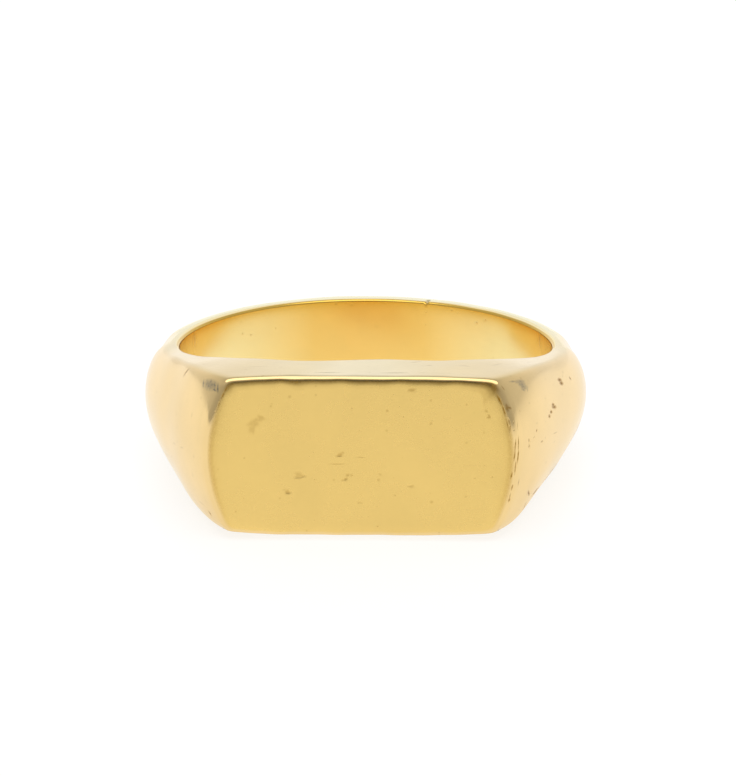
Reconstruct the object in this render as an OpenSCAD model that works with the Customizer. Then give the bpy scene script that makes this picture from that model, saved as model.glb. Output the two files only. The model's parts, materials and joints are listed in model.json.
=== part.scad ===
// Signet ring: a flat cushion table on tapering shoulders and a flat-sided shank.
// The finger axis is Z, the table faces -Y, the origin is the middle of the finger bore.
// Angles run round the finger axis from 0 at the table, positive towards +X.

/* [Finger bore] */
// Diameter of the finger bore
bore_d = 19.8; // [19:0.1:20.6]

/* [Head and table] */
// Metal between the finger bore and the table, at the middle
head_t = 2.5; // [2.35:0.05:2.65]
// Width of the head along the finger
head_w = 8.55; // [8.05:0.05:9.05]
// Thickness of the table plate
plate_t = 0.7; // [0.5:0.05:0.8]
// Round on the worn edge of the table
arris_r = 0.2; // [0.1:0.02:0.24]

/* [Shoulders] */
// How far the shoulder line rises over the shank at the middle of the head
shoulder_rise = 4.75; // [4.5:0.05:5]
// Angle over which the rise dies away
shoulder_spread = 43.6; // [42:0.2:45]
// Steepness with which the rise dies away
shoulder_power = 2.65; // [2.5:0.05:2.8]
// Crown across the shoulders
shoulder_crown = 0.95; // [0.8:0.01:1.1]

/* [Shank] */
// Thickness of the shank, bore to outside
shank_t = 1.85; // [1.65:0.05:2.05]
// Width of the shank along the finger, at the back
shank_w = 4.6; // [4:0.1:5.2]
// Crown across the outside of the shank
shank_crown = 0.4; // [0.25:0.05:0.5]
// Angle each way from the table over which the sides run straight
side_flat = 14; // [12:0.5:16]
// Angle past the straight sides over which the width falls from head to shank
taper_spread = 53; // [50.5:0.5:56.5]
// Steepness of the fall in width
taper_power = 2.2; // [2:0.1:2.6]

/* [Solder joints] */
// Angle of the joints between head and shank
joint_angle = 110; // [104:1:118]
// Angle of the closing seam in the shank, on the +X side
seam_angle = 160; // [150:1:172]
// Thickness of every solder film
solder_t = 0.1; // [0.06:0.01:0.14]

/* [Hidden] */
bore_r = bore_d / 2;
// Sections start this far inside the bore wall, and the bore then cuts them to size
core_inset = 0.6;
core_r = bore_r - core_inset;
shank_r = bore_r + shank_t;
table_y = bore_r + head_t;
seat_y = table_y - plate_t;
film_y = seat_y - solder_t;
film_a = solder_t / (bore_r + shank_t / 2) * 180 / PI;
// Squareness of the section: corners are crisp at the head and softer at the shank
head_square = 28;
shank_square = 7;
square_spread = 60;
crown_spread = 120;
// Half extents of the table, used to walk round its edge
table_x = 8;
table_z = head_w / 2;
edge_points = 144;
// Degrees by which the edge points bunch towards the table's corners
edge_bunch = 8;
far = 40;
// Angle from one section of a loft to the next
head_step = 2;
shank_step = 2.5;

// Directions across half a section, 0 on the mid plane, 90 on the bore wall
half_dirs = [9, 18, 27, 35, 40, 42.4, 43.9, 45, 46.1, 47.6, 50, 56, 70, 90];
half_n = len(half_dirs);
dirs = concat([for (i = [half_n - 1:-1:0]) -half_dirs[i]], [0], half_dirs);

function fold(a) = let (b = abs(a)) b > 180 ? 360 - b : b;
function bell(a, spread, power) = exp(-pow(fold(a) / spread, power));
function out_r(a) = shank_r + shoulder_rise * bell(a, shoulder_spread, shoulder_power);
function half_w(a) =
    let (past = max(0, fold(a) - side_flat))
    shank_w / 2 + (head_w - shank_w) / 2 * bell(past, taper_spread, taper_power);
function square(a) = shank_square + (head_square - shank_square) * bell(a, square_spread, 4);
function crown(a) = shank_crown + (shoulder_crown - shank_crown) * bell(a, crown_spread, 4);

// Triangles that close a section, laid straight across it
dir_n = len(dirs);
cap = concat(
    [for (j = [0:half_n - 2]) each [[j, j + 1, dir_n - 2 - j], [j, dir_n - 2 - j, dir_n - 1 - j]]],
    [[half_n - 1, half_n, half_n + 1]]);

// One point of the section at angle a, in direction q across the section
function section_point(a, q) =
    let (p = square(a))
    let (k = pow(pow(abs(cos(q)), p) + pow(abs(sin(q)), p), -1 / p))
    let (c = abs(q) == 90 ? 0 : k * cos(q))
    let (s = k * sin(q))
    let (r = core_r + c * (out_r(a) - core_r - crown(a) * s * s))
    [r * sin(a), -r * cos(a), half_w(a) * s];

// Below 0 inside the lofted body, above 0 outside it
function outside(x, y, z) =
    let (a = atan2(x, y))
    let (r = sqrt(x * x + y * y))
    let (s = abs(z) / half_w(a))
    let (c = max(0, r - core_r) / (out_r(a) - core_r - crown(a) * s * s))
    let (p = square(a))
    pow(c, p) + pow(s, p) - 1;

// Reach of the body from the table axis, along a direction in the plane at distance y
function reach(ux, uz, y, lo, hi, n) =
    let (mid = (lo + hi) / 2)
    n == 0 ? mid :
    outside(mid * ux, y, mid * uz) > 0 ? reach(ux, uz, y, lo, mid, n - 1) :
    reach(ux, uz, y, mid, hi, n - 1);

// Edge of the body in the plane at distance y, drawn in by the given inset
function edge(y, inset) =
    [for (i = [0:edge_points - 1])
        let (v = 360 * i / edge_points)
        let (u = v + edge_bunch * sin(4 * v))
        let (dx = table_x * cos(u))
        let (dz = table_z * sin(u))
        let (d = sqrt(dx * dx + dz * dz))
        let (l = reach(dx / d, dz / d, y, 0, 2 * table_x, 27))
        [l * dx / d * (1 - inset / table_x), -y, l * dz / d * (1 - inset / table_z)]];

// Loft of sections from angle a0 to angle a1
module loft(a0, a1, step) {
    n = ceil((a1 - a0) / step);
    m = len(dirs);
    points = [for (i = [0:n]) for (q = dirs) section_point(a0 + (a1 - a0) * i / n, q)];
    sides = [for (i = [0:n - 1]) for (j = [0:m - 1])
        let (k = (j + 1) % m)
        each [[i * m + j, i * m + k, (i + 1) * m + k], [i * m + j, (i + 1) * m + k, (i + 1) * m + j]]];
    first = [for (f = cap) [f[2], f[1], f[0]]];
    last = [for (f = cap) [n * m + f[0], n * m + f[1], n * m + f[2]]];
    polyhedron(points = points, faces = concat(sides, first, last), convexity = 6);
}

module bore() {
    cylinder(r = bore_r, h = far, center = true, $fn = 180);
}

// Everything further than y towards the table
module beyond(y) {
    translate([-far / 2, -far, -far / 2])
        cube([far, far - y, far]);
}

// One arc of the ring, from angle a0 to angle a1
module arc(a0, a1, step) {
    difference() {
        loft(a0, a1, step);
        bore();
    }
}

// Solid closed round a row of edges, from the first to the last
module stack(rows) {
    n = len(rows) - 1;
    m = edge_points;
    points = [for (row = rows) each row];
    sides = [for (i = [0:n - 1]) for (j = [0:m - 1])
        let (k = (j + 1) % m)
        each [[i * m + j, i * m + k, (i + 1) * m + k], [i * m + j, (i + 1) * m + k, (i + 1) * m + j]]];
    under = [[for (j = [m - 1:-1:0]) j]];
    face = [[for (j = [0:m - 1]) n * m + j]];
    polyhedron(points = points, faces = concat(sides, under, face), convexity = 2);
}

module table_plate() {
    color([0.91, 0.78, 0.48])
        stack(concat(
            [edge(seat_y, 0), edge(table_y - arris_r, 0)],
            [for (b = [30, 60, 90]) edge(table_y - arris_r * (1 - sin(b)), arris_r * (1 - cos(b)))]));
}

module table_solder() {
    color([0.8, 0.66, 0.36])
        stack([edge(film_y, 0), edge(seat_y, 0)]);
}

module head() {
    color([0.93, 0.82, 0.55])
        difference() {
            loft(-joint_angle, joint_angle, head_step);
            bore();
            beyond(film_y);
        }
}

module right_joint_solder() {
    color([0.8, 0.66, 0.36])
        arc(joint_angle, joint_angle + film_a, head_step);
}

module left_joint_solder() {
    color([0.8, 0.66, 0.36])
        arc(360 - joint_angle - film_a, 360 - joint_angle, head_step);
}

module right_shank() {
    color([0.89, 0.74, 0.42])
        arc(joint_angle + film_a, seam_angle - film_a / 2, shank_step);
}

module left_shank() {
    color([0.86, 0.72, 0.4])
        arc(seam_angle + film_a / 2, 360 - joint_angle - film_a, shank_step);
}

module closing_seam_solder() {
    color([0.8, 0.66, 0.36])
        arc(seam_angle - film_a / 2, seam_angle + film_a / 2, head_step);
}

table_plate();
table_solder();
head();
right_joint_solder();
left_joint_solder();
right_shank();
left_shank();
closing_seam_solder();
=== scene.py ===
"""Signet ring: fine meshes and finishes for its table, head, shank and solder joints.

The finger axis is Z, the table faces -Y and the origin is the middle of the finger bore.
Angles run round the finger axis from 0 at the table, positive towards +X. Units are metres.
"""

import json
import math

import bmesh
import bpy
import numpy as np
from bpy.props import FloatProperty, FloatVectorProperty, PointerProperty
from mathutils import Matrix, Vector

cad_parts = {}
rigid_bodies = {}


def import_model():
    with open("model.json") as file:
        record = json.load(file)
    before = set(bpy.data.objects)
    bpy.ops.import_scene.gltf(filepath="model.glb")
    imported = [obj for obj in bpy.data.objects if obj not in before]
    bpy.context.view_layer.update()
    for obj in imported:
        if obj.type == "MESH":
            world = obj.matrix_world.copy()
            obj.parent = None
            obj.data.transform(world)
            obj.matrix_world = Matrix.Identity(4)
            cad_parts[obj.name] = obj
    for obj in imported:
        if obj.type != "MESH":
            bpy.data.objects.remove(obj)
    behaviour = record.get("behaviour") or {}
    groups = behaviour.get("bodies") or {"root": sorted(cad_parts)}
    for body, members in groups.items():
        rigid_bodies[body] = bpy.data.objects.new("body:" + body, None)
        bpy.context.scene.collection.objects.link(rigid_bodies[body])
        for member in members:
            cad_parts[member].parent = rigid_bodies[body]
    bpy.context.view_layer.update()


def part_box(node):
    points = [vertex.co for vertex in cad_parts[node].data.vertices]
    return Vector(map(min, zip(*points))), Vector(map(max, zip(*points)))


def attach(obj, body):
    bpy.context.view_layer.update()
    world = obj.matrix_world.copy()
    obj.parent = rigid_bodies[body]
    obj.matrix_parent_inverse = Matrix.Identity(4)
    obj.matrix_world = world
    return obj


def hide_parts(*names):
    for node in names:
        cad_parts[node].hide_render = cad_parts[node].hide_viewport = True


bl_info = {
    "name": "Signet Ring",
    "version": (1, 0, 0),
    "blender": (4, 5, 0),
    "location": "View3D > Sidebar > Signet Ring",
    "description": "Builds a worn gold plated signet ring over its packed solids",
    "category": "Add Mesh",
}

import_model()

MM = 0.001
DEG = math.pi / 180
FACING = np.array([0.0, -1.0, 0.0])  # the way the table faces
SHOULDER_POWER, TAPER_POWER = 2.65, 2.2  # steepness with which rise and width fall away
SHANK_SQUARE, HEAD_SQUARE = 7, 28  # squareness of the sections
TABLE_HALF = 8 * MM  # half extent of the table, used to walk round its edge
EDGE_BUNCH = 0.14  # radians by which the edge points bunch towards the corners
# The table's worn edge: travel along it in shares of the arris, and its share of the wall's angle
EDGE_TRAVEL = (0, 0.64, 1, 1.43, 1.55, 2.07, 2.64, 3.2)
EDGE_LEAN = (1, 0.92, 0.69, 0.32, 0.26, 0.095, 0.02, 0)
EDGE_POINTS = 420  # points round the edge of the table
HALVINGS = 40  # steps of a search by halving
FLAT_END = 12  # a face with more corners than this is the flat end of a piece
POLISH_DEPTH = 0.006 * MM  # how far hand polishing strays from true
RIM_SHADE_BAND = 0.42 * MM  # height of the band of painted shade, a darker orange gold, just inside the edge of the bore
# Finish and the painted highlight of the flat sides: ranges over which they change, in millimetres from the
# bore's middle unless said otherwise
FLAT_TURN = (0.8, 0.97)  # upright share of the normal, from a rounded corner to a flat side, over which the painted highlight of the flat sides sets in
FRONT_SIDES = (1.0, 7.0)  # sideways, from the painted highlight above the table to the plainer painted light towards the shoulders
BACK_SIDES = (-3.0, 6.0)  # along Y, from the front of the flat sides to the back, where their painted highlight is palest
BORE_FLANKS = (3.0, 7.5)  # sideways, from the middle of the bore to its flanks
BORE_EDGE = (0.12, 0.03)  # past the radius of the bore, from the sides to the bore
BORE_OVERRUN, FLANK_OVERRUN = 0.14, 0.25  # how far the bore's gold overruns its edge, and more at the flanks
NOISE_RANGE = (0.3, 0.7)  # values between which the noise of clouds and grain mostly lies
EDGE_ROUGH = 0.11  # roughness of the plate's polished edge
TABLE_LAY, BODY_LAY = (2, 2, 3), (1.2, 1.2, 9)  # polishing lines per millimetre along each axis


def linear(hex_colour):
    """Linear RGB of an sRGB hex colour."""
    parts = [int(hex_colour[i : i + 2], 16) / 255 for i in (1, 3, 5)]
    return [p / 12.92 if p <= 0.04045 else ((p + 0.055) / 1.055) ** 2.4 for p in parts]


def length(name, description, default, low, high):
    """A length property."""
    return FloatProperty(
        name=name, description=description, default=default, min=low, max=high,
        unit="LENGTH", precision=5,
    )


def angle(name, description, degrees):
    """An angle property."""
    return FloatProperty(
        name=name, description=description, default=degrees * DEG, min=0, max=math.pi,
        subtype="ANGLE",
    )


def colour(name, description, hex_colour):
    """A colour property."""
    return FloatVectorProperty(
        name=name, description=description, default=linear(hex_colour), min=0, max=1,
        size=3, subtype="COLOR",
    )


class RingSizes(bpy.types.PropertyGroup):
    """Sizes that the loft of the ring follows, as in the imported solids."""

    bore_radius: length("Bore", "Radius of the finger bore", 9.9 * MM, 9e-3, 11e-3)
    table_distance: length(
        "Table", "Bore middle to the table", -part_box("table_plate")[0].y, 0.011, 0.014
    )
    seat_distance: length(
        "Plate seat", "Bore middle to the plate", -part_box("table_plate")[1].y, 0.011, 0.014
    )
    film_distance: length(
        "Film seat", "Bore middle to the film", -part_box("table_solder")[1].y, 0.011, 0.014
    )
    head_width: length("Head", "Width of the head", 2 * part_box("head")[1].z, 6e-3, 12e-3)
    shank_radius: length(
        "Shank", "Outside radius at the back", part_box("left_shank")[1].y, 0.011, 0.013
    )
    shank_width: length("Shank width", "Width at the back", 4.6 * MM, 3e-3, 6e-3)
    core_inset: length("Core", "Section start inside the bore", 0.6 * MM, 1e-4, 1e-3)
    shoulder_rise: length("Rise", "Rise of the shoulder line", 4.75 * MM, 3e-3, 7e-3)
    shoulder_crown: length("Shoulder crown", "Crown of the shoulders", 0.95 * MM, 0, 2e-3)
    shank_crown: length("Shank crown", "Crown of the shank", 0.4 * MM, 0, 1e-3)
    arris: length("Arris", "Length over which the table's worn edge rolls off", 0.28 * MM, 5e-5, 5e-4)
    rim: length("Rim", "Round on the edge of the bore", 0.13 * MM, 2e-5, 4e-4)
    film: length("Solder", "Thickness of the solder films", 0.1 * MM, 5e-5, 2e-4)
    shoulder_spread: angle("Rise spread", "Angle over which the rise dies away", 43.6)
    side_flat: angle("Straight sides", "Angle each way over which the sides run straight", 14)
    taper_spread: angle("Taper spread", "Angle past that over which the width falls", 53)
    square_spread: angle("Corner spread", "Angle over which the corners soften", 60)
    crown_spread: angle("Crown spread", "Angle over which the crown falls", 120)
    joint_angle: angle("Joints", "Angle of the joints of head and shank", 110)
    seam_angle: angle("Seam", "Angle of the closing seam", 160)


class RingFinish(bpy.types.PropertyGroup):
    """Colours of the plating, the painted highlights and shade on it, its brown marks and the floor."""

    table_gold: colour("Table gold", "Gold plate of the table", "#EECC7B")
    body_gold: colour("Body gold", "Gold plate of head and shank", "#F0D194")
    # The next three colours are painted light on the flat sides: a paler gold painted as their highlight,
    # palest at the back, plainer towards the shoulders.
    side_painted_light: colour("Side gold", "Thin plate on the flat sides above the table", "#F6E6BD")
    end_painted_light: colour("End gold", "Fuller plate on the flat sides towards the shoulders", "#E8CD90")
    back_painted_light: colour("Back gold", "Thinnest plate on the flat sides at the back", "#F7F0C7")
    # The bore's gold is also painted low on the shoulders, where they turn to the sides, as shade.
    bore_gold_and_shoulder_shade: colour("Bore gold", "Full plate at the middle of the bore", "#F4CE77")
    # Painted shade: the next colour is a darker, more orange gold painted in a band just inside the bore's
    # edge.
    rim_shade_gold: colour("Deep gold", "Thickest plate, just inside the edge of the bore", "#E8C05C")
    flank_gold: colour("Flank gold", "Plate at both flanks of the bore", "#FAE7A6")
    bare_metal: colour("Bare metal", "Grey metal where the plate is gone", "#8F8873")
    # The tarnish brown also colours painted shade: the dark line along the table's upper edge.
    tarnish_and_shade: colour("Tarnish", "Brown in pits and scratches", "#A0741C")
    floor: colour("Floor", "Sheet that the ring lies on", "#8A8A8A")


# Wear in millimetres and degrees. Stain is how brown a mark is, from 0 to 1; on the table's upper edge it
# also carries painted shade.
MARK_REACH = 0.4  # how far a pit or scratch reaches through the surface
SCRATCH_FULL = 0.3  # share of a scratch's width that has its full stain
PIT_FLOOR, DENT_FLOOR = 1.7, 1.6  # how far the floor of a pit or dent is evened out
BORE_SIDE, OUTER_FADE = 10.4, 0.6  # radius where filing of the outside sets in, and over what length
FILED_ABOVE, CORNER_FADE = 0.4, 1.2  # height from which the corners were filed, and over what height
NICK_ANGLE, NICK_SPREAD, NICK_DEPTH, NICK_STAIN = 161.6, 0.8, 0.07, 0.3  # in the rim at the back
NICK_ABOVE = 2.05  # height of the rim that is nicked
FLUX_SPREAD, FLUX_STAIN = 1.6, 0.22  # old flux along the joints in the bore
# Crest of the bore's edge above the table: middle and half length along X, height, start and fade
# along Y, and the height in the bore at which it is reached
CREST_MIDDLE, CREST_HALF, CREST_HEIGHT = 0.4, 4.1, 0.26
CREST_START, CREST_FADE, CREST_TOP = -11.5, 1.6, 4.2
# Filed places round the ring: angle, half spread, depth
FILED_CORNERS = (99, 11, 0.13)
LEAN_SHOULDER = ((49, 16, 0.17), (70, 22, 0.085))
# Worn places along the edge of the table: x, z, reach
WORN_CORNER = (6.9, 3.7, 1.2)
EDGE_NICK = (-3.6, 4.2, 0.7)
WORN_ENDS, ENDS_REACH = 6.7, 1.1  # where the worn ends start, and over what length
# Lean of the table's edge, in degrees, at which the dark line lies, painted shade on the upper edge and
# grime at the ends, and from which the edge is polished
DARK_LINE_LEAN, POLISH_LEAN, POLISH_FADE = 14, 11, 12
# Marks in the table: x, z, half width, half height, turn in degrees, depth, stain
TABLE_DENTS = (
    (-5.48, 1.80, 0.42, 0.30, 35, 0.002, 0.22),
    (-5.14, 2.05, 0.27, 0.24, 0, 0.002, 0.22),
    (-5.56, 1.49, 0.22, 0.38, -18, 0.002, 0.20),
    (-1.09, 0.11, 0.22, 0.13, 30, 0.006, 0.42),
    (-0.91, 0.25, 0.12, 0.07, 38, 0.003, 0.30),
    (-3.16, -1.00, 0.36, 0.26, 0, 0.008, 0.2),
    (-0.69, -0.96, 0.11, 0.13, -35, 0.010, 0.25),
    (-0.78, -1.18, 0.13, 0.10, 20, 0.012, 0.34),
    (-3.76, -1.89, 0.19, 0.14, -30, 0.012, 0.34),
    (-3.91, -1.76, 0.10, 0.08, -35, 0.006, 0.15),
    (2.57, -1.55, 0.22, 0.07, 8, 0.008, 0.22),
    (2.75, -1.47, 0.10, 0.05, 35, 0.006, 0.18),
    (-0.06, -2.42, 0.11, 0.08, -25, 0.008, 0.26),
    (2.62, 3.60, 0.21, 0.20, 0, 0.002, 0.40),
    (6.55, 2.54, 0.23, 0.23, 10, 0.002, 0.42),
    (6.74, 2.50, 0.16, 0.09, 0, 0.002, 0.40),
    (6.59, 2.20, 0.20, 0.15, 0, 0.002, 0.42),
    (3.59, 1.84, 0.06, 0.17, -10, 0.003, 0.18),
    (1.00, -0.91, 0.12, 0.07, -15, 0.005, 0.20),
)
# Pits in the body: place, half length, half height, depth, stain
BODY_PITS = (
    ((10.32, -5.59, 2.12), 0.17, 0.24, 0.010, 0.35),
    ((9.94, -7.66, 1.34), 0.22, 0.18, 0.010, 0.35),
    ((9.77, -8.23, 1.25), 0.14, 0.14, 0.008, 0.30),
    ((8.65, -10.44, -2.48), 0.18, 0.15, 0.008, 0.30),
    ((7.57, -12.32, 2.65), 0.16, 0.24, 0.010, 0.35),
    ((8.63, -11.22, 0.56), 0.14, 0.12, 0.006, 0.30),
    ((8.64, -11.22, 0.29), 0.14, 0.12, 0.006, 0.30),
)
# Scratches and specks of the body: start, end, half width, stain
SCRATCHES = (
    ((10.16, -5.93, 2.31), (10.35, -5.44, 2.17), 0.15, 0.95),
    ((10.26, -5.85, 2.11), (10.43, -5.38, 1.98), 0.15, 0.95),
    ((10.78, -4.08, 1.92), (10.88, -3.91, 1.79), 0.1, 0.8),
    ((9.82, -7.90, 1.54), (9.93, -7.62, 1.46), 0.12, 0.9),
    ((9.82, -7.97, 1.44), (10.05, -7.37, 1.26), 0.14, 0.95),
    ((9.73, -8.33, 1.27), (9.82, -8.10, 1.21), 0.12, 0.9),
    ((9.65, -8.64, 1.14), (9.72, -8.45, 1.08), 0.13, 0.85),
    ((9.03, -10.32, 0.89), (9.01, -10.38, 0.85), 0.09, 0.7),
    ((8.62, -11.23, 0.63), (8.62, -11.24, 0.58), 0.09, 0.65),
    ((8.65, -11.20, 0.32), (8.61, -11.28, 0.26), 0.075, 0.6),
    ((9.25, -9.91, 0.12), (9.36, -9.65, 0.09), 0.075, 0.55),
    ((9.89, -8.20, 0.04), (10.14, -7.46, -0.05), 0.045, 0.35),
    ((8.93, -10.59, 0.64), (8.84, -10.80, 0.57), 0.045, 0.35),
    ((8.59, -10.46, -2.37), (8.67, -9.85, -2.80), 0.12, 0.85),
    ((9.23, -7.81, -2.90), (8.77, -9.23, -3.07), 0.12, 0.95),
    ((8.51, -10.01, -3.13), (8.35, -10.07, -3.48), 0.11, 0.95),
    ((-8.96, -8.33, 3.52), (-9.30, -8.06, 3.02), 0.1, 0.8),
    ((-8.71, -10.68, 1.83), (-8.79, -10.63, 1.54), 0.045, 0.3),
    ((-7.87, -11.48, -3.25), (-7.57, -11.79, -3.54), 0.12, 0.9),
    ((-8.47, -10.49, -2.95), (-8.08, -11.25, -3.03), 0.045, 0.25),
    ((-10.47, -5.26, -1.97), (-10.21, -6.32, -1.87), 0.06, 0.4),
    ((-9.90, -8.12, -0.55), (-9.68, -8.76, -0.47), 0.045, 0.3),
    ((-9.41, -9.48, -0.39), (-9.22, -9.97, -0.31), 0.045, 0.3),
    ((-8.77, -10.73, -1.39), (-8.67, -10.84, -1.63), 0.045, 0.35),
    ((2.53, -10.11, 4.27), (3.09, -9.76, 4.27), 0.075, 0.3),
    ((3.30, -10.37, 4.27), (3.61, -10.25, 4.26), 0.075, 0.3),
    ((5.00, -9.77, 4.19), (5.56, -9.91, 4.15), 0.075, 0.25),
    ((-6.32, -10.16, 4.10), (-4.57, -10.28, 4.23), 0.045, 0.22),
    ((6.65, -9.35, 4.02), (7.27, -8.19, 3.86), 0.075, 0.25),
)
# Those on the side of the plate and along the edge of the table
WALL_SCRATCHES = (
    ((7.52, -12.31, 2.11), (7.65, -12.30, 1.70), 0.06, 0.55),
    ((7.65, -12.29, 1.83), (7.59, -12.34, 1.32), 0.055, 0.6),
    ((7.93, -12.23, 0.99), (7.88, -12.29, 0.23), 0.06, 0.75),
    ((7.91, -12.27, 0.49), (7.82, -12.31, -0.30), 0.06, 0.75),
    ((8.06, -12.08, 1.11), (8.06, -12.16, 0.25), 0.06, 0.75),
    ((8.08, -12.13, 0.45), (8.01, -12.20, -0.41), 0.065, 0.85),
    ((7.95, -12.25, -0.13), (7.88, -12.26, -0.98), 0.06, 0.7),
    ((7.77, -12.32, -0.75), (7.66, -12.33, -1.20), 0.06, 0.75),
    ((8.12, -11.96, -1.25), (8.06, -11.96, -1.63), 0.05, 0.6),
    ((7.80, -12.26, -1.48), (7.71, -12.27, -1.77), 0.06, 0.75),
    ((7.69, -12.27, -1.87), (7.57, -12.26, -2.46), 0.05, 0.5),
    ((7.63, -12.25, -2.25), (7.59, -12.26, -2.37), 0.08, 0.65),
    ((8.02, -11.97, 1.84), (8.03, -12.09, 1.40), 0.039, 0.35),
    ((7.86, -12.20, 1.90), (7.86, -12.23, 1.81), 0.039, 0.4),
    ((7.90, -12.27, 1.49), (7.90, -12.29, 1.43), 0.039, 0.35),
    ((7.50, -12.34, 2.83), (7.60, -12.34, 2.52), 0.12, 0.85),
    ((7.57, -12.30, 2.70), (7.69, -12.17, 2.58), 0.09, 0.85),
    ((7.19, -12.17, 3.80), (7.38, -12.11, 3.52), 0.046, 0.45),
    ((6.93, -12.40, 3.54), (7.34, -12.40, 2.72), 0.075, 0.9),
    ((7.25, -12.40, 2.96), (7.52, -12.40, 2.11), 0.055, 0.85),
    ((7.46, -12.40, 2.35), (7.70, -12.40, 1.25), 0.04, 0.7),
    ((-6.81, -12.40, 3.86), (-7.07, -12.40, 3.38), 0.06, 0.8),
    ((-6.99, -12.40, 3.54), (-7.25, -12.40, 3.01), 0.055, 0.75),
    ((-7.18, -12.40, 3.17), (-7.49, -12.40, 2.42), 0.045, 0.55),
    ((-7.57, -12.40, 2.41), (-7.58, -12.40, 2.37), 0.039, 0.35),
)
# Shoulder corners rubbed through to grey metal: start, end, half width, share
RUBS = (
    ((-8.12, -10.74, 3.55), (-8.12, -10.96, 3.30), 0.12, 0.9),
    ((-7.93, -11.02, 3.66), (-7.90, -11.32, 3.40), 0.13, 0.85),
    ((-7.71, -11.35, 3.76), (-7.69, -11.64, 3.48), 0.12, 1.0),
    ((-7.51, -11.69, 3.77), (-7.48, -12.00, 3.45), 0.14, 1.0),
    ((-7.33, -12.00, 3.76), (-7.36, -12.22, 3.40), 0.11, 1.0),
    ((-7.61, -11.80, 3.44), (-7.40, -12.16, 3.40), 0.08, 0.9),
    ((-8.04, -10.99, 3.47), (-7.40, -12.01, 3.61), 0.36, 0.75),
    ((7.55, -11.56, 3.82), (7.97, -10.94, 3.67), 0.07, 0.6),
    ((7.87, -11.12, 3.68), (8.37, -10.26, 3.46), 0.15, 0.7),
    ((8.06, -10.90, 3.51), (8.38, -10.34, 3.35), 0.18, 0.7),
    ((8.17, -10.83, 3.35), (8.52, -10.22, 3.14), 0.18, 0.7),
    ((8.21, -10.84, 3.24), (8.41, -10.54, 3.08), 0.1, 0.6),
    ((8.53, -10.24, 3.09), (8.53, -10.34, 2.97), 0.06, 0.55),
)
# Faint scratches in the table: start, end, half width, stain
TABLE_SCRATCHES = (
    ((-1.74, -12.40, -0.38), (-0.72, -12.40, -0.37), 0.035, 0.28),
    ((-0.30, -12.40, 0.00), (0.31, -12.40, -0.02), 0.03, 0.22),
    ((4.82, -12.40, -0.45), (6.51, -12.40, -0.38), 0.02, 0.08),
)


def fold(a):
    """Angle from the table, from 0 to pi."""
    return np.abs((a + np.pi) % (2 * np.pi) - np.pi)


def bell(a, spread, power):
    """1 at the table, falling to 0 over the spread."""
    return np.exp(-((fold(a) / spread) ** power))


def bowl(away):
    """1 in the middle of a mark, 0 from distance 1."""
    return (1 - np.clip(away, -1, 1) ** 2) ** 2


def unit(vectors):
    """Vectors brought to length 1."""
    return vectors / np.maximum(np.linalg.norm(vectors, axis=-1, keepdims=True), 1e-15)


def outline(s, a):
    """Outer radius, half width, squareness and crown of the section at angle a."""
    rise = s.shoulder_rise * bell(a, s.shoulder_spread, SHOULDER_POWER)
    past = np.maximum(0, fold(a) - s.side_flat)
    width = s.shank_width + (s.head_width - s.shank_width) * bell(past, s.taper_spread, TAPER_POWER)
    square = SHANK_SQUARE + (HEAD_SQUARE - SHANK_SQUARE) * bell(a, s.square_spread, 4)
    crown = s.shank_crown + (s.shoulder_crown - s.shank_crown) * bell(a, s.crown_spread, 4)
    return s.shank_radius + rise, width / 2, square, crown


def outside(s, points):
    """Below 0 inside the lofted body, above 0 outside it."""
    x, y, z = points[..., 0], -points[..., 1], points[..., 2]
    radius, half, square, crown = outline(s, np.arctan2(x, y))
    core = s.bore_radius - s.core_inset
    across = np.abs(z) / half
    depth = np.maximum(0, np.hypot(x, y) - core) / (radius - core - crown * across**2)
    return depth**square + across**square - 1


def body_normals(s, points):
    """Unit normals of the lofted body at points on it."""
    steps = np.eye(3) * 1e-6  # a micrometre along each axis
    return unit(np.stack([outside(s, points + d) - outside(s, points - d) for d in steps], -1))


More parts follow.
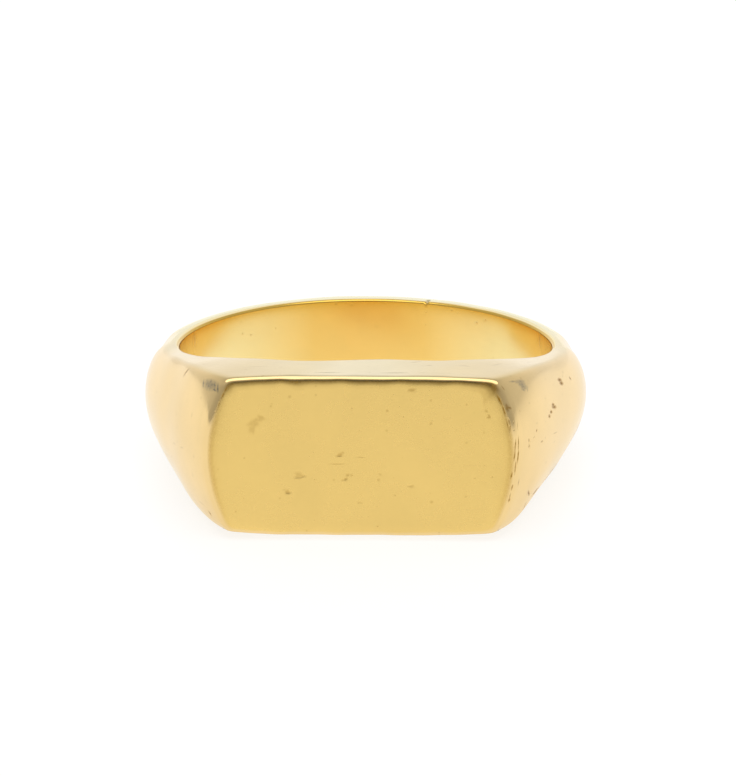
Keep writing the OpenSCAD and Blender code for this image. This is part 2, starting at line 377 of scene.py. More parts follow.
def sections(s, a):
    """Closed sections at the given angles: crown, corner, side, rim and bore wall.

    Returns the points, how much each is rubbed bright, as the corners and rims are, and how
    much painted shade each has, a band of darker gold just inside the edge of the bore."""
    a = a[:, None]
    radius, half, square, crown = outline(s, a)
    core = s.bore_radius - s.core_inset
    stop = (s.core_inset + s.rim) / (radius - core - crown)
    # Points stand closest together at the crisp corner, which is at step 1
    before, after = 0.84, 1.16
    side_points, rim_points, wall_points = 13, 8, 11
    spans = ((0, before, 29), (before, 0.95, 7), (0.95, 1.05, 17), (1.05, after, 6))
    outer = np.concatenate([[0], *(np.linspace(*span)[1:] for span in spans)])
    side = after + (before - stop) * np.linspace(0, 1, side_points)[1:]
    step = np.concatenate([np.broadcast_to(outer, (len(a), len(outer))), side], axis=1)
    turn = np.where(step <= 1, np.arctan(step), np.pi / 2 - np.arctan(2 - step))
    reach = (np.cos(turn) ** square + np.sin(turn) ** square) ** (-1 / square)
    across = reach * np.sin(turn)
    r = core + reach * np.cos(turn) * (radius - core - crown * across**2)
    z = half * across
    bend = np.linspace(0, np.pi / 2, rim_points)[1:]
    rim_r = s.bore_radius + (r[:, -1:] - s.bore_radius) * (1 - np.sin(bend))
    rim_z = z[:, -1:] - s.rim * (1 - np.cos(bend))
    wall_z = rim_z[:, -1:] * np.linspace(1, 0, wall_points)[1:]
    r = np.concatenate([r, rim_r, np.full_like(wall_z, s.bore_radius)], axis=1)
    z = np.concatenate([z, rim_z, wall_z], axis=1)
    # The rims are rubbed twice as bright as the corners
    rub = np.zeros_like(r)
    rub[:, : step.shape[1]] = 0.5 * bowl((step - 1) / 0.1)
    rub[:, step.shape[1] : step.shape[1] + len(bend)] = np.sin(2 * bend)
    # Share of painted shade, a band of darker gold just inside the edge of the bore
    rim_shade = np.exp(-(((half - z) / RIM_SHADE_BAND) ** 2)) * (r < s.bore_radius + s.rim)
    r, z, rub, rim_shade = (
        np.concatenate([v, sign * v[:, -2:0:-1]], axis=1)
        for v, sign in ((r, 1), (z, -1), (rub, 1), (rim_shade, 1))
    )
    return np.stack([r * np.sin(a), -r * np.cos(a), z], axis=-1), rub, rim_shade


def ring_rows(s):
    """Angles of the sections round the ring, and the rows at which each piece starts and ends."""
    film = s.film / (s.bore_radius + s.shank_radius) * 2
    joint, seam = s.joint_angle, s.seam_angle
    near, far = 28 * DEG, 75 * DEG  # the shoulders, which show the most wear
    # Piece, first angle and number of sections of each stretch
    stops = (
        ("left_joint", -joint - film, 2),
        ("head", -joint, 30),
        ("head", -far, 104),
        ("head", -near, 48),
        ("head", near, 104),
        ("head", far, 30),
        ("right_joint", joint, 2),
        ("right_arm", joint + film, 34),
        ("closing_seam", seam - film / 2, 2),
        ("left_arm", seam + film / 2, 14),
        ("left_arm", seam + 4 * DEG, 56),
        ("end", 2 * np.pi - joint - film, 0),
    )
    angles, rows = [], {}
    for (name, first, count), (_, last, _) in zip(stops, stops[1:]):
        start = rows.get(name, (len(angles), 0))[0]
        angles += np.linspace(first, last, count, endpoint=False).tolist()
        rows[name] = (start, len(angles))
    return np.array(angles), rows


def grid_normals(points):
    """Unit normals of a grid that closes on itself both ways."""
    along = np.roll(points, -1, 0) - np.roll(points, 1, 0)
    across = np.roll(points, -1, 1) - np.roll(points, 1, 1)
    return unit(np.cross(along, across))


def wander(points):
    """How far hand polishing has left the walls from true, in crossing waves a few mm long."""
    x, y, z = np.moveaxis(points / MM, -1, 0)
    swell = np.sin(0.9 * x + 1.1 * z + 0.4) * np.sin(0.8 * y - 0.7 * z) + np.sin(1.7 * x - 1.3 * y)
    return POLISH_DEPTH * swell


def hand_finish(points, normals):
    """Wall points and normals moved by the hand polish."""
    step = 0.02 * MM
    slope = [(wander(points + d) - wander(points - d)) / (2 * step) for d in np.eye(3) * step]
    tilted = normals - np.stack(slope, axis=-1)
    return points + normals * wander(points)[..., None], unit(tilted)


def ragged(along, over, seed):
    """Distance from the middle of a mark, in shares of its uneven outline."""
    turn = np.arctan2(over, along)
    uneven = 1 + 0.2 * np.sin(3 * turn + 1.7 * seed) + 0.12 * np.sin(5 * turn + 2.9 * seed)
    return np.hypot(along, over) / uneven


def wear(points, normals):
    """Presses the pits into a surface of the body and returns their stains."""
    stain_and_shade = np.zeros(points.shape[:2])
    for seed, (place, long, high, depth, share) in enumerate(BODY_PITS):
        away = points / MM - place
        nearest = np.unravel_index(np.argmin((away**2).sum(-1)), away.shape[:-1])
        out = normals[nearest]
        rise = unit(np.array([0, 0, 1]) - out[2] * out)
        spread = ragged(away @ np.cross(out, rise) / long, away @ rise / high, seed)
        hole = bowl(np.hypot(spread, away @ out / MARK_REACH))
        points -= hole[..., None] * out * depth * MM
        stain_and_shade = np.maximum(stain_and_shade, np.minimum(PIT_FLOOR * hole, 1) * share)
    return stain_and_shade


def hollow(turn, middle, spread, depth):
    """Depth of a shallow hollow at angles in degrees."""
    return depth * bowl((turn - middle) / spread)


def body_surface(s):
    """Points, normals and marks of the whole ring, and each piece's rows."""
    angles, rows = ring_rows(s)
    points, rub, rim_shade = sections(s, angles)
    normals = grid_normals(points)
    points = points + normals * wander(points)[..., None]
    stain_and_shade = wear(points, normals)
    x, y, z = np.moveaxis(points / MM, -1, 0)
    reach = np.hypot(x, y)
    turn = np.degrees(angles)[:, None]
    # A nick in the back rim beside the closing seam, on the upper side only
    nick = bowl((turn - NICK_ANGLE) / NICK_SPREAD) * (z > NICK_ABOVE) * (reach < BORE_SIDE)
    points[..., 2] -= nick * NICK_DEPTH * MM
    stain_and_shade = np.maximum(stain_and_shade, NICK_STAIN * nick)
    # Old flux in the bore, in upright streaks along both joints
    bore = reach < s.bore_radius / MM + 0.03
    for joint in (s.joint_angle, 2 * np.pi - s.joint_angle):
        off = np.degrees(fold(angles - joint))[:, None]
        streak = np.exp(-((off / FLUX_SPREAD) ** 2)) * (0.5 + 0.5 * np.sin(4 * z + off))
        stain_and_shade = np.maximum(stain_and_shade, FLUX_STAIN * bore * streak)
    # Both upper corners were filed flatter where the shoulders run into the shank
    outer = np.clip((reach - BORE_SIDE) / OUTER_FADE, 0, 1) * MM
    upper = np.clip((z - FILED_ABOVE) / CORNER_FADE, 0, 1)
    filed = hollow(np.degrees(fold(angles))[:, None], *FILED_CORNERS) * upper
    points -= (filed * outer)[..., None] * normals
    normals = grid_normals(points)
    # The edge of the bore was dressed by eye and stands proud above the middle of the table
    front = np.clip((y - CREST_START) / CREST_FADE, 0, 1) * (y < 0)
    proud = bowl((x - CREST_MIDDLE) / CREST_HALF) * front * np.clip(z / CREST_TOP, 0, 1) ** 2
    points[..., 2] += CREST_HEIGHT * MM * proud
    # The lower right shoulder was filed a little leaner than its fellow
    lower = np.clip(-z / CORNER_FADE, 0, 1)
    leaner = sum(hollow(turn, *part) for part in LEAN_SHOULDER) * lower
    points -= (leaner * outer)[..., None] * normals
    return points, normals, {"stain_and_shade": stain_and_shade, "rub": rub, "rim_shade": rim_shade}, rows


def edge_at(s, distance):
    """Points where the body's surface crosses the plane at each distance from the bore's middle."""
    even = np.linspace(0, 2 * np.pi, len(distance), endpoint=False)
    turn = even + EDGE_BUNCH * np.sin(4 * even)
    half = s.head_width / 2
    way = unit(np.stack([TABLE_HALF * np.cos(turn), 0 * turn, half * np.sin(turn)], axis=-1))
    base = distance[:, None] * FACING
    low, high = np.zeros(len(distance)), np.full(len(distance), 2 * TABLE_HALF)
    for _ in range(HALVINGS):
        middle = (low + high) / 2
        out = outside(s, way * middle[:, None] + base) > 0
        low, high = np.where(out, low, middle), np.where(out, middle, high)
    return way * low[:, None] + base


def closed_mesh(name, points, normals, marks):
    """Mesh of rows of points that close round, with flat ends and the given normals."""
    count, around = points.shape[:2]
    first = np.arange(count * around).reshape(count, around)
    after = np.roll(first, -1, 1)
    quads = np.stack([first[:-1], after[:-1], after[1:], first[1:]], -1).reshape(-1, 4)
    ends = [first[0, ::-1].tolist(), first[-1].tolist()]
    mesh = bpy.data.meshes.new(name)
    mesh.from_pydata(points.reshape(-1, 3).tolist(), [], quads.tolist() + ends)
    for key, values in marks.items():
        mesh.attributes.new(key, "FLOAT", "POINT").data.foreach_set("value", values.ravel())
    mesh.attributes.new("finish", "FLOAT_VECTOR", "POINT").data.foreach_set("vector", normals.ravel())
    return mesh


def keep_normals(mesh):
    """Shades the walls by their kept normals and leaves the flat ends flat."""
    normals = np.zeros(len(mesh.vertices) * 3)
    mesh.attributes["finish"].data.foreach_get("vector", normals)
    corners = np.zeros(len(mesh.loops), np.int32)
    mesh.loops.foreach_get("vertex_index", corners)
    split = unit(normals.reshape(-1, 3))[corners]
    for face in mesh.polygons:
        face.use_smooth = True
        if face.loop_total > FLAT_END:
            split[face.loop_start : face.loop_start + face.loop_total] = face.normal
    mesh.attributes.remove(mesh.attributes["finish"])
    mesh.normals_split_custom_set(split.tolist())


def arc_mesh(name, s):
    """Mesh of one piece of the ring, between its two flat ends."""
    points, normals, marks, rows = body_surface(s)
    first, last = rows[name]
    kept = np.arange(last, first - 1, -1) % len(points)
    return closed_mesh(name, points[kept], normals[kept], {key: v[kept] for key, v in marks.items()})


def cut_for_plate(mesh, s):
    """Cuts the head flat where the plate is soldered on."""
    bm = bmesh.new()
    bm.from_mesh(mesh)
    cut = bmesh.ops.bisect_plane(
        bm, geom=bm.verts[:] + bm.edges[:] + bm.faces[:], plane_co=FACING * s.film_distance,
        plane_no=FACING, clear_outer=True,
    )
    rim = [part for part in cut["geom_cut"] if isinstance(part, bmesh.types.BMEdge)]
    bmesh.ops.edgeloop_fill(bm, edges=rim)
    bm.to_mesh(mesh)
    bm.free()


def worn_edge(turn, worn):
    """Rows of a profile that turns from the wall to the face, its angle dying away.

    Returns each row's angle from the face and its travel inwards and towards the face."""
    kept, finer = 20, 12  # rows that are kept, and steps worked out for each
    travel = np.linspace(0, EDGE_TRAVEL[-1], kept * finer + 1)
    lean = turn * np.interp(travel, EDGE_TRAVEL, EDGE_LEAN)[:, None]
    middle = (lean[1:] + lean[:-1]) / 2
    start = np.zeros((1, len(turn)))
    inward = np.concatenate([start, np.cumsum(np.cos(middle), axis=0)]) * worn * travel[1]
    rise = np.concatenate([start, np.cumsum(np.sin(middle), axis=0)]) * worn * travel[1]
    return lean[::finer], inward[::finer], rise[::finer]


def table_mesh(s):
    """The plate: its side wall, the worn edge that rolls off and the dented face."""
    around, wall_rows, face_rows = EDGE_POINTS, 4, 72
    start = edge_at(s, np.full(around, s.table_distance))
    x, z = start[:, 0] / MM, start[:, 2] / MM
    # The edge is worn most at both ends, at the upper right corner and at a nick left of the middle
    ends = np.clip((np.abs(x) - WORN_ENDS) / ENDS_REACH, 0, 1)
    corner, nick = (
        bowl(np.hypot(x - at_x, z - at_z) / reach) for at_x, at_z, reach in (WORN_CORNER, EDGE_NICK)
    )
    uneven = 1 + 0.06 * np.sin(1.9 * x + 0.6) + 0.04 * np.sin(4.1 * x - 2.3 * z)
    uneven = uneven + 0.2 * corner + 0.15 * nick + 0.8 * ends
    for _ in range(3):
        wall = body_normals(s, start)
        turn = np.arccos(np.clip(wall @ FACING, -1, 1))
        lean, inward, rise = worn_edge(turn, s.arris * uneven)
        start = edge_at(s, s.table_distance - rise[-1])
    out = unit(wall - (wall @ FACING)[:, None] * FACING)
    top = start @ FACING
    shrink = np.array([1 / TABLE_HALF, 0, 2 / s.head_width])
    # Painted shade along the upper edge, a dark line that stands in for a dark reflection, and a little real
    # grime at both ends
    grime_and_edge_shade = np.clip(2 * wall[:, 2] - 0.6, 0, 1) * (0.6 + 0.2 * corner + 0.2 * nick)
    grime_and_edge_shade = np.maximum(grime_and_edge_shade, 0.3 * ends)
    none, full = np.zeros(around), np.ones(around)
    rows = []  # points, normals, rub, polish and stain of each row, the stain holding the painted shade along the upper edge
    for share in np.arange(wall_rows) / wall_rows:
        level = edge_at(s, s.seat_distance + (top - s.seat_distance) * share)
        rows.append((*hand_finish(level, body_normals(s, level)), none, full, none))
    first, shade = hand_finish(start, wall)
    for angle_now, inwards, up in zip(lean, inward, rise):
        fade = (angle_now / turn)[:, None]
        level = (start + (first - start) * fade) * (1 - inwards[:, None] * shrink) + FACING * up[:, None]
        rolled = FACING * np.cos(angle_now)[:, None] + out * np.sin(angle_now)[:, None]
        degrees = angle_now / DEG
        # The dark line of painted shade and grime is wider and lies lower at the worn corner
        off = (degrees - DARK_LINE_LEAN - 6 * corner) / (8 + 8 * corner)
        rows.append((
            level, unit(rolled + (shade - wall) * fade), np.sin(np.minimum(2 * angle_now, np.pi)),
            np.clip((degrees - POLISH_LEAN) / POLISH_FADE, 0, 1), grime_and_edge_shade * np.exp(-(off**2)),
        ))
    flat, inner = len(rows) - 1, rows[-1][0]
    smallest = 0.012  # share of the outline inside which one face closes the middle
    for share in np.linspace(1, smallest, face_rows)[1:]:
        level = FACING * s.table_distance * (1 - share) + inner * share
        rows.append((level, np.broadcast_to(FACING, inner.shape), none, none, none))
    points, normals, rub, polish, stain_and_shade = (np.stack(values) for values in zip(*rows))
    stain_and_shade = np.maximum(stain_and_shade, wear(points, normals))
    x, z = points[..., 0] / MM, points[..., 2] / MM
    for seed, (at_x, at_z, wide, high, tilt, depth, dark) in enumerate(TABLE_DENTS):
        c, d = math.cos(tilt * DEG), math.sin(tilt * DEG)
        along, over = (x - at_x) * c + (z - at_z) * d, (z - at_z) * c - (x - at_x) * d
        hole = np.minimum(DENT_FLOOR * bowl(ragged(along / wide, over / high, seed)), 1)
        hole[:flat] = 0
        points[..., 1] += hole * depth * MM
        stain_and_shade = np.maximum(stain_and_shade, hole * dark)
    face = points[flat:]
    bent = unit(np.cross(np.roll(face, -1, 1) - np.roll(face, 1, 1), np.gradient(face, axis=0)))
    normals[flat + 1 :] = (bent * np.sign(bent @ FACING)[..., None])[1:]
    return closed_mesh("table", points, normals, {"stain_and_shade": stain_and_shade, "rub": rub, "polish": polish})


def film_mesh(s):
    """The solder film under the plate."""
    levels = np.linspace(s.film_distance, s.seat_distance, 3)
    points = np.stack([edge_at(s, np.full(EDGE_POINTS, level)) for level in levels])
    points, normals = hand_finish(points, body_normals(s, points))
    stain_and_shade = wear(points, normals)
    return closed_mesh("table_seam", points, normals, {"stain_and_shade": stain_and_shade, "rub": 0 * stain_and_shade})


def add_piece(name, mesh, node, material):
    """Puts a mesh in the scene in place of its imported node."""
    keep_normals(mesh)
    mesh.materials.append(material)
    piece = bpy.data.objects.new(name, mesh)
    bpy.context.scene.collection.objects.link(piece)
    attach(piece, "root")
    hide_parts(node)
    return piece


def add_node(tree, kind, links=None, **settings):
    """Adds a node, sets it and joins its inputs, given by name or number."""
    node = tree.nodes.new(kind)
    for key, value in settings.items():
        setattr(node, key, value)
    for key, value in (links or {}).items():
        if isinstance(value, bpy.types.NodeSocket):
            tree.links.new(value, node.inputs[key])
        else:
            node.inputs[key].default_value = value
    return node


def new_material(name):
    """A material with an empty node tree."""
    material = bpy.data.materials.new(name)
    material.use_nodes = True
    material.node_tree.nodes.clear()
    return material, material.node_tree


def ramp(tree, value, low, high, first=0.0, last=1.0, **settings):
    """Socket that runs from first to last while the value runs from low to high."""
    links = {0: value, 1: low, 2: high, 3: first, 4: last}
    return add_node(tree, "ShaderNodeMapRange", links, **settings).outputs[0]


def combine(tree, operation, *values, **settings):
    """Socket of a sum on values and sockets."""
    links = dict(enumerate(values))
    return add_node(tree, "ShaderNodeMath", links, operation=operation, **settings).outputs[0]


def blend(tree, share, first, second):
    """Socket that runs from the first colour to the second while the share runs from 0 to 1."""
    links = {0: share}
    for key, value in ((6, first), (7, second)):
        links[key] = value if isinstance(value, bpy.types.NodeSocket) else (*value, 1)
    return add_node(tree, "ShaderNodeMix", links, data_type="RGBA").outputs[2]


def noise(tree, place, scale, detail):
    """Socket of a noise whose features lie 1 / scale apart."""
    links = {"Vector": place, "Scale": scale, "Detail": detail}
    return add_node(tree, "ShaderNodeTexNoise", links).outputs[0]


def mesh_mark(tree, name):
    """Socket of a mark that is kept on the mesh."""
    return add_node(tree, "ShaderNodeAttribute", attribute_name=name).outputs["Fac"]


def scratch_marks(tree, s, place, scratches):
    """Socket that is high in thin scratches, each a long ellipsoid set into the surface."""
    marks = combine(tree, "MAXIMUM", 0.0, 0.0)
    for start, end, wide, strength in scratches:
        a, b = Vector(start), Vector(end)
        along = (b - a).normalized()
        over = along.cross(body_normals(s, np.array((a + b) / 2) * MM)).normalized()
        spot = add_node(
            tree, "ShaderNodeMapping",
            {
                "Vector": place, "Location": (a + b) / 2,
                "Rotation": Matrix((along, over, along.cross(over))).transposed().to_euler(),
                "Scale": ((b - a).length / 2 + wide, wide, MARK_REACH),
            },
            vector_type="TEXTURE",
        )
        away = add_node(tree, "ShaderNodeVectorMath", {0: spot.outputs[0]}, operation="LENGTH")
        mark = ramp(tree, away.outputs["Value"], 1.0, SCRATCH_FULL, 0.0, strength)
        marks = combine(tree, "MAXIMUM", marks, mark)
    return marks


def pore_marks(tree, place):
    """Socket that is high in the pores of the brass, up to 0.2 mm wide and about 0.5 mm apart."""
    cells = add_node(tree, "ShaderNodeTexVoronoi", {"Vector": place, "Scale": 2.2})
    few = add_node(tree, "ShaderNodeSeparateColor", {0: cells.outputs["Color"]})
    wide = ramp(tree, few.outputs[0], 0.45, 1.0, 0.0, 0.24)
    inside = combine(tree, "SUBTRACT", wide, cells.outputs["Distance"])
    return ramp(tree, inside, 0.0, 0.12, 0.0, 0.2)


def plate_colour(tree, s, f, gold, normal, place, polish):
    """Sockets of the unworn plate's colour with its painted highlights and shade, and of the share of the
    bore in it.
    """
    x, y, z = add_node(tree, "ShaderNodeSeparateXYZ", {0: place}).outputs
    facing = add_node(tree, "ShaderNodeSeparateXYZ", {0: normal})
    # The flat sides are painted paler as a highlight, the most at the back and above the middle of the table
    flat_highlight_share = ramp(tree, combine(tree, "ABSOLUTE", facing.outputs["Z"]), *FLAT_TURN)
    aside = combine(tree, "ABSOLUTE", x)
    back = ramp(tree, y, *BACK_SIDES)
    front = blend(tree, ramp(tree, aside, *FRONT_SIDES), f.side_painted_light, f.end_painted_light)
    flat_painted_light = blend(tree, back, front, f.back_painted_light)
    # At the back the gold of the bore runs over its edge, the most at the flanks
    round_axis = add_node(tree, "ShaderNodeVectorMath", {0: place, 1: (1, 1, 0)}, operation="MULTIPLY")
    radius = add_node(tree, "ShaderNodeVectorMath", {0: round_axis.outputs[0]}, operation="LENGTH")
    flank = ramp(tree, aside, *BORE_FLANKS)
    over = combine(tree, "MULTIPLY_ADD", flank, -FLANK_OVERRUN, -BORE_OVERRUN)
    spread = combine(tree, "MULTIPLY_ADD", back, over, radius.outputs["Value"])
    bore = ramp(tree, spread, *(s.bore_radius / MM + past for past in BORE_EDGE))
    lining = blend(tree, flank, f.bore_gold_and_shoulder_shade, f.flank_gold)
    # Painted shade: darker gold in a band just inside the edge of the bore
    inner = blend(tree, mesh_mark(tree, "rim_shade"), lining, f.rim_shade_gold)
    # The plate's edge is polished like the body
    plate = blend(tree, polish, gold, f.body_gold)
    # Low on the shoulders, where they turn to the sides, the bore's deeper gold is painted on as shade
    kept = ramp(tree, x, -8.0, 8.0, 0.45, 1.0)
    for source, none, full in ((z, -0.3, -1.8), (y, 1.5, -1.0), (facing.outputs["Y"], -0.5, -0.2)):
        kept = combine(tree, "MULTIPLY", kept, ramp(tree, source, none, full))
    shoulder = blend(tree, kept, plate, f.bore_gold_and_shoulder_shade)
    sides = blend(tree, flat_highlight_share, shoulder, flat_painted_light)
    return blend(tree, bore, sides, inner), bore


def gold_plate(name, s, f, gold, rough, lay, scratches=(), rubs=()):
    """Gold plate on brass, hand polished and worn: warm, with soft reflections and fine lines.

    lay is how often per millimetre the polishing lines repeat along each axis."""
    material, tree = new_material(name)
    where = add_node(tree, "ShaderNodeTexCoord")
    millimetres = add_node(
        tree, "ShaderNodeVectorMath", {0: where.outputs["Object"], "Scale": 1 / MM}, operation="SCALE"
    )
    place = millimetres.outputs[0]
    # Clouds about 3 mm across, where the plate has worn unevenly
    cloud = noise(tree, place, 0.35, 4.0)
    # Lines of the hand polish
    drawn = add_node(tree, "ShaderNodeMapping", {"Vector": place, "Scale": lay})
    lines = noise(tree, drawn.outputs[0], 1.0, 3.0)
    # Grain of the buffed metal, about 0.1 mm
    grain = noise(tree, place, 9.0, 2.0)
    pores = pore_marks(tree, place)
    polish = mesh_mark(tree, "polish")
    whole, bore = plate_colour(tree, s, f, gold, where.outputs["Normal"], place, polish)
    tone = ramp(tree, cloud, *NOISE_RANGE, 0.95, 1.03)
    worn = add_node(tree, "ShaderNodeVectorMath", {0: whole, "Scale": tone}, operation="SCALE")
    # Grey metal where the plate is gone, mottled with what is left of it
    gone = scratch_marks(tree, s, place, rubs)
    mottle = ramp(tree, grain, 0.35, 0.6, 1.1, 0.6)
    grey = combine(tree, "MULTIPLY", gone, mottle, use_clamp=True)
    rubbed = blend(tree, grey, worn.outputs[0], f.bare_metal)
    # Brown tarnish in pits, pores and scratches; the marks kept on the mesh also hold the painted shade
    # along the table's upper edge
    pits = mesh_mark(tree, "stain_and_shade")
    scratch = scratch_marks(tree, s, place, scratches)
    marks = combine(tree, "MAXIMUM", combine(tree, "MAXIMUM", pits, pores), scratch)
    patchy = ramp(tree, grain, *NOISE_RANGE, 0.75, 1.25)
    brown = combine(tree, "MULTIPLY", marks, patchy, use_clamp=True)
    tint = blend(tree, brown, rubbed, f.tarnish_and_shade)
    # Thick tarnish, and the darkest painted shade on the table's edge, is a dull crust, not metal
    crust = ramp(tree, brown, 0.7, 1.0, 1.0, 0.05)
    # Edges are rubbed bright; clouds and lines vary the gloss, tarnish, the painted shade and the bore are
    # duller
    rub = mesh_mark(tree, "rub")
    gloss = ramp(tree, cloud, *NOISE_RANGE, rough - 0.02, rough + 0.03)
    rough_now = add_node(tree, "ShaderNodeMix", {0: polish, 2: gloss, 3: EDGE_ROUGH}).outputs[0]
    for source, share in ((lines, 0.06), (rub, -0.06), (bore, 0.08), (brown, 0.2)):
        rough_now = combine(tree, "MULTIPLY_ADD", source, share, rough_now)
    # Heights in millimetres
    height = combine(tree, "MULTIPLY", grain, 0.00015)
    for source, share in ((lines, 0.00006), (pores, -0.006), (scratch, -0.006)):
        height = combine(tree, "MULTIPLY_ADD", source, share, height)
    bump = add_node(tree, "ShaderNodeBump", {"Strength": 1.0, "Distance": MM, "Height": height})
    shader = add_node(
        tree, "ShaderNodeBsdfPrincipled",
        {
            "Base Color": tint, "Metallic": crust, "Roughness": rough_now,
            "Normal": bump.outputs[0], "Specular IOR Level": 0.1,
        },
    )
    add_node(tree, "ShaderNodeOutputMaterial", {"Surface": shader.outputs[0]})
    return material


class RING_OT_table(bpy.types.Operator):
    """Adds the table plate with its worn arris and dents"""

    bl_idname = "signet.table"
    bl_label = "Table"

    def execute(self, context):
        s, f = context.scene.ring_sizes, context.scene.ring_finish
        gold = gold_plate(
            "gold_plate_satin", s, f, f.table_gold, rough=0.24, lay=TABLE_LAY,
            scratches=(*TABLE_SCRATCHES, *WALL_SCRATCHES), rubs=RUBS,
        )
        add_piece("table", table_mesh(s), "table_plate", gold)
        return {"FINISHED"}


class RING_OT_head(bpy.types.Operator):
    """Adds the head with both shoulders"""

    bl_idname = "signet.head"
    bl_label = "Head"

    def execute(self, context):
        s, f = context.scene.ring_sizes, context.scene.ring_finish
        gold = gold_plate(
            "gold_plate_polished", s, f, f.body_gold, rough=0.11, lay=BODY_LAY,
            scratches=SCRATCHES, rubs=RUBS,
        )
        mesh = arc_mesh("head", s)
        cut_for_plate(mesh, s)
        add_piece("head_and_shoulders", mesh, "head", gold)
        return {"FINISHED"}


class RING_OT_shank(bpy.types.Operator):
    """Adds the two arms of the shank"""

    bl_idname = "signet.shank"
    bl_label = "Shank"

    def execute(self, context):
        s, f = context.scene.ring_sizes, context.scene.ring_finish
        gold = gold_plate("gold_plate_shank", s, f, f.body_gold, rough=0.12, lay=BODY_LAY)
        for side in ("right", "left"):
            mesh = arc_mesh(f"{side}_arm", s)
            add_piece(f"{side}_arm", mesh, f"{side}_shank", gold)
        return {"FINISHED"}


class RING_OT_solder(bpy.types.Operator):
    """Adds the solder films of the joints, the closing seam and the table"""

    bl_idname = "signet.solder"
    bl_label = "Solder"

    def execute(self, context):
        s, f = context.scene.ring_sizes, context.scene.ring_finish
        gold = gold_plate("gold_plate_on_solder", s, f, f.body_gold, rough=0.13, lay=BODY_LAY, rubs=RUBS)
        for side in ("right", "left"):
            mesh = arc_mesh(f"{side}_joint", s)
            add_piece(f"{side}_joint", mesh, f"{side}_joint_solder", gold)
        add_piece("closing_seam", arc_mesh("closing_seam", s), "closing_seam_solder", gold)
        add_piece("table_seam", film_mesh(s), "table_solder", gold)
        return {"FINISHED"}


def resting_plane():
    """Height at the origin and slope along Y of the floor that the ring lies on."""
    names = ("table", "head_and_shoulders", "left_arm", "right_arm")
    points = np.concatenate([[v.co for v in bpy.data.objects[n].data.vertices] for n in names])
    y, z = points[:, 1], points[:, 2]
    low, high = 0.0, 0.3  # slopes between which the ring comes to rest
    for _ in range(HALVINGS):
        tilt = (low + high) / 2
        touches = y[np.argmin(z - tilt * y)] < 0
        low, high = (tilt, high) if touches else (low, tilt)
    return (z - tilt * y).min(), tilt


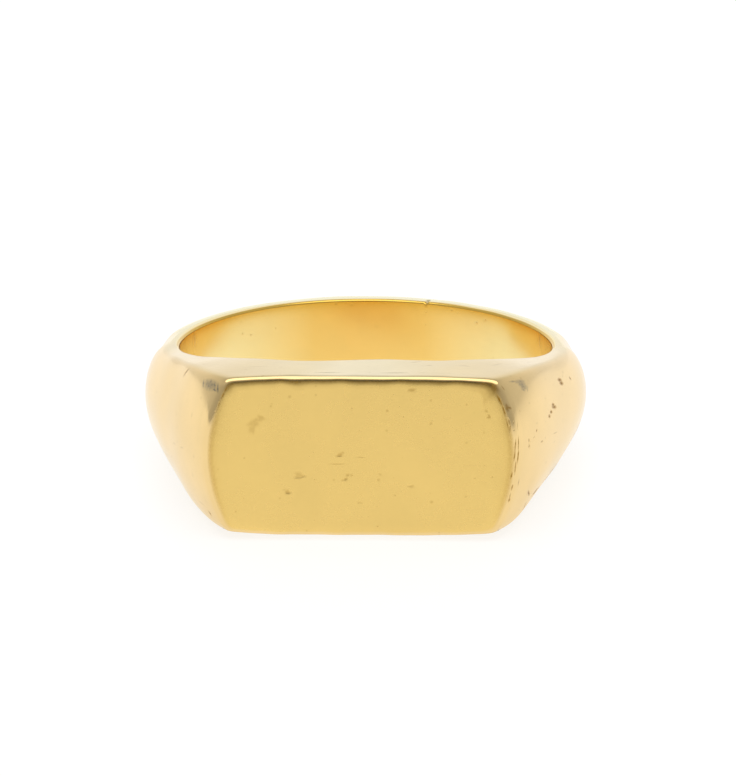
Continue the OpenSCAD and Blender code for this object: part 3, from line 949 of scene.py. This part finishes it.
class RING_OT_stage(bpy.types.Operator):
    """Adds the lit floor, the soft light and the camera"""

    bl_idname = "signet.stage"
    bl_label = "Stage"

    def execute(self, context):
        scene = context.scene
        self.add_floor(scene)
        self.add_light(scene)
        self.add_camera(scene)
        scene.view_settings.view_transform = "Standard"
        return {"FINISHED"}

    def add_floor(self, scene):
        """Opal acrylic sheet lit from below, so that it stays white close to the ring."""
        height, tilt = resting_plane()
        half = 0.16
        corners = [(-half, -half), (half, -half), (half, half), (-half, half)]
        mesh = bpy.data.meshes.new("floor")
        mesh.from_pydata([(x, y, height + tilt * y) for x, y in corners], [], [(0, 1, 2, 3)])
        material, tree = new_material("opal_acrylic")
        # The sheet glows less towards its two ends
        where = add_node(tree, "ShaderNodeTexCoord")
        place = add_node(tree, "ShaderNodeSeparateXYZ", {0: where.outputs["Object"]})
        aside = combine(tree, "ABSOLUTE", combine(tree, "ADD", place.outputs["X"], 0.02))
        glow = ramp(tree, aside, 0.06, half, 0.78, 0.36)
        shader = add_node(
            tree, "ShaderNodeBsdfPrincipled",
            {
                "Base Color": (*scene.ring_finish.floor, 1), "Roughness": 0.5,
                "Emission Color": (1, 1, 1, 1), "Emission Strength": glow,
            },
        )
        add_node(tree, "ShaderNodeOutputMaterial", {"Surface": shader.outputs[0]})
        mesh.materials.append(material)
        floor = bpy.data.objects.new("floor", mesh)
        scene.collection.objects.link(floor)

    def add_light(self, scene):
        """A softbox overhead, a bright wall behind, a dimmer room in front and a dark camera in it."""
        light = bpy.data.lights.new("softbox", "AREA")
        light.shape = "ELLIPSE"
        light.size, light.size_y = 0.56, 0.66
        light.energy = 1.06
        softbox = bpy.data.objects.new("softbox", light)
        softbox.location = (0, -0.13, 0.48)
        softbox.rotation_euler = (-softbox.location).to_track_quat("-Z", "Y").to_euler()
        scene.collection.objects.link(softbox)
        world = bpy.data.worlds.new("studio")
        world.use_nodes = True
        tree = world.node_tree
        tree.nodes.clear()
        where = add_node(tree, "ShaderNodeTexCoord")
        way = add_node(tree, "ShaderNodeSeparateXYZ", {0: where.outputs["Generated"]})
        # Brightest behind the ring, and even overhead
        behind = combine(tree, "POWER", ramp(tree, way.outputs["Y"], -1.0, 1.0), 3.0)
        wall = ramp(tree, behind, 0.0, 1.0, 0.46, 1.0)
        over = ramp(tree, way.outputs["Z"], 0.28, 0.72, interpolation_type="SMOOTHSTEP")
        room = add_node(tree, "ShaderNodeMix", {0: over, 2: wall, 3: 0.6})
        # The camera is a dark disc in front
        towards = add_node(
            tree, "ShaderNodeVectorMath", {0: where.outputs["Generated"], 1: (0.02, -0.96, 0.28)},
            operation="DOT_PRODUCT",
        )
        disc = ramp(tree, towards.outputs["Value"], 0.966, 0.988, 1.0, 0.08)
        strength = combine(tree, "MULTIPLY", room.outputs[0], disc)
        sky = add_node(tree, "ShaderNodeBackground", {"Color": (1, 1, 1, 1), "Strength": strength})
        add_node(tree, "ShaderNodeOutputWorld", {0: sky.outputs[0]})
        scene.world = world

    def add_camera(self, scene):
        """Camera at the photograph's angle; its frame is 736 by 776 pixels."""
        wide, high = 736, 776
        middle_x, middle_y = 365.657, 389.817  # where the middle of the bore lies in the frame
        scale, distance = 18.736 / MM, 300 * MM  # pixels per metre at the middle of the bore
        swing, lift = 1.116 * DEG, 16.151 * DEG
        lens = bpy.data.cameras.new("camera")
        lens.sensor_fit, lens.sensor_height = "VERTICAL", 24
        lens.lens = lens.sensor_height * scale * distance / high
        lens.shift_x, lens.shift_y = (wide / 2 - middle_x) / high, (middle_y - high / 2) / high
        lens.clip_start = 0.01
        camera = bpy.data.objects.new("camera", lens)
        camera.location = distance * Vector(
            (math.sin(swing) * math.cos(lift), -math.cos(swing) * math.cos(lift), math.sin(lift))
        )
        camera.rotation_euler = (-camera.location).to_track_quat("-Z", "Y").to_euler()
        scene.collection.objects.link(camera)
        scene.camera = camera


class RING_PT_panel(bpy.types.Panel):
    """Lists the ring's sizes, its colours and the steps that build it"""

    bl_label = "Signet Ring"
    bl_idname = "RING_PT_panel"
    bl_space_type = "VIEW_3D"
    bl_region_type = "UI"
    bl_category = "Signet Ring"

    def draw(self, context):
        for group in (context.scene.ring_sizes, context.scene.ring_finish):
            for name in group.__annotations__:
                self.layout.prop(group, name)
        for step in STEPS:
            self.layout.operator(step.bl_idname)


STEPS = (RING_OT_table, RING_OT_head, RING_OT_shank, RING_OT_solder, RING_OT_stage)
CLASSES = (RingSizes, RingFinish, *STEPS, RING_PT_panel)


def register():
    for cls in CLASSES:
        bpy.utils.register_class(cls)
    bpy.types.Scene.ring_sizes = PointerProperty(type=RingSizes)
    bpy.types.Scene.ring_finish = PointerProperty(type=RingFinish)


def unregister():
    del bpy.types.Scene.ring_finish
    del bpy.types.Scene.ring_sizes
    for cls in reversed(CLASSES):
        bpy.utils.unregister_class(cls)


def main():
    register()
    bpy.ops.signet.table()
    bpy.ops.signet.head()
    bpy.ops.signet.shank()
    bpy.ops.signet.solder()
    bpy.ops.signet.stage()


if __name__ == "__main__":
    main()
